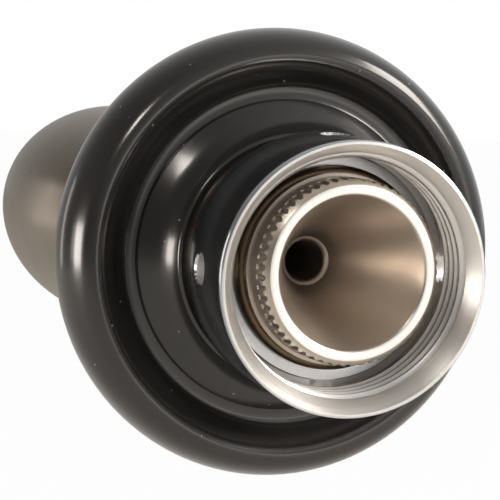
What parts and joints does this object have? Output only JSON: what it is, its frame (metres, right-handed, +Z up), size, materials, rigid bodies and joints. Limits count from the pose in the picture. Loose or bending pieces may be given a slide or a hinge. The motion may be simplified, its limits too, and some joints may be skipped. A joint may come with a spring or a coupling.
{
  "type": "beer tap shank",
  "caption": "Beer tap shank with a toothed funnel nose, loose coupling nut, black wall flange, clamp nut, domed tail nut and barbed tailpiece.",
  "frame": {"origin": "on the shank's axis in the plane of the wall's face, where the gasket behind the flange bears on the wall", "axes": "+Y along the shank away from the tap, towards the hose; -Y out of the mouth towards the tap; +Z up"},
  "size_m": [0.0556, 0.1546, 0.0556],
  "materials": {
    "shank_steel": "satin turned stainless steel",
    "nut_chrome": "polished chrome with fine turning marks",
    "ring_bronze": "dull bronze spring wire",
    "flange_black": "glossy black moulded plastic",
    "gasket_rubber": "matte black rubber",
    "seal_nylon": "soft pale nylon",
    "plated_steel": "zinc plated steel",
    "tail_steel": "smooth satin stainless steel"
  },
  "bodies": {
    "shank": {"shank": "shank_steel", "snap_ring": "ring_bronze"},
    "thrust_washer": {"thrust_washer": "plated_steel"},
    "coupling_nut": {"coupling_nut": "nut_chrome"},
    "wall_gasket": {"wall_gasket": "gasket_rubber"},
    "flange": {"flange": "flange_black"},
    "clamp_washer": {"clamp_washer": "plated_steel"},
    "clamp_nut": {"clamp_nut": "plated_steel"},
    "tailpiece": {"tailpiece": "tail_steel", "tail_seal": "seal_nylon"},
    "tail_nut": {"tail_nut": "tail_steel"}
  },
  "joints": [
    {"name": "coupling_travel", "type": "slide", "parent": "shank", "child": "thrust_washer", "axis": [0, 1, 0], "range_m": [0, 0.003]},
    {"name": "coupling_spin", "type": "hinge", "parent": "thrust_washer", "child": "coupling_nut", "pos_m": [0.00023, -0.02112, -0.00015], "axis": [0.0356, 0.9983, 0.0469], "continuous": true},
    {"name": "flange_travel", "type": "slide", "parent": "shank", "child": "wall_gasket", "axis": [0, 1, 0], "range_m": [0, 0.0169]},
    {"name": "flange_spin", "type": "hinge", "parent": "wall_gasket", "child": "flange", "pos_m": [0, 0, 0], "axis": [0, 1, 0], "continuous": true},
    {"name": "clamp_travel", "type": "slide", "parent": "shank", "child": "clamp_washer", "axis": [0, 1, 0], "range_m": [-0.0164, 0.0155]},
    {"name": "clamp_turn", "type": "hinge", "parent": "clamp_washer", "child": "clamp_nut", "pos_m": [0, 0.0236, 0], "axis": [0, 1, 0], "range_deg": [-3240, 3060]},
    {"name": "tail_travel", "type": "slide", "parent": "shank", "child": "tailpiece", "axis": [0, 1, 0], "range_m": [0, 0.0273]},
    {"name": "tail_turn", "type": "hinge", "parent": "tailpiece", "child": "tail_nut", "pos_m": [0, 0.06, 0], "axis": [0, 1, 0], "range_deg": [0, 5400]}
  ],
  "couplings": [
    {"joint": "clamp_travel", "follows": "clamp_turn", "m_per_rad": 0.00028871},
    {"joint": "tail_travel", "follows": "tail_turn", "m_per_rad": 0.00028871}
  ]
}
